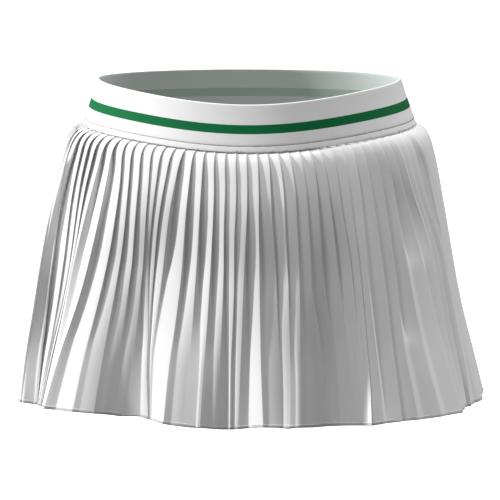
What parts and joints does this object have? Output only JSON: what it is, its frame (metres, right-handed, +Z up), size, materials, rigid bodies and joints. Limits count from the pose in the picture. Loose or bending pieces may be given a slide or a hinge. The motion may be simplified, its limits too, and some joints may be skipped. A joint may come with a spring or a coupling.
{
  "type": "pleated tennis skirt",
  "caption": "Short flared tennis skirt in its worn, hollow form: narrow knife pleats hang from a wide plain elastic waistband with a green stripe.",
  "frame": {"origin": "centre of the waist, at half the waistband's height at the side seams, where the wearer holds the skirt up", "axes": "+Z up the wearer's body, -Y to the front of the skirt, +X to the wearer's left side"},
  "size_m": [0.466, 0.3461, 0.3279],
  "materials": {
    "elastic": "matt ribbed knitted elastic, white, one green stripe knitted in",
    "cloth": "smooth white polyester cloth with a faint sheen, heat-set knife pleats"
  },
  "bodies": {
    "root": {"waistband_front": "elastic", "waistband_back": "elastic", "skirt_front": "cloth", "skirt_back": "cloth"}
  },
  "joints": []
}
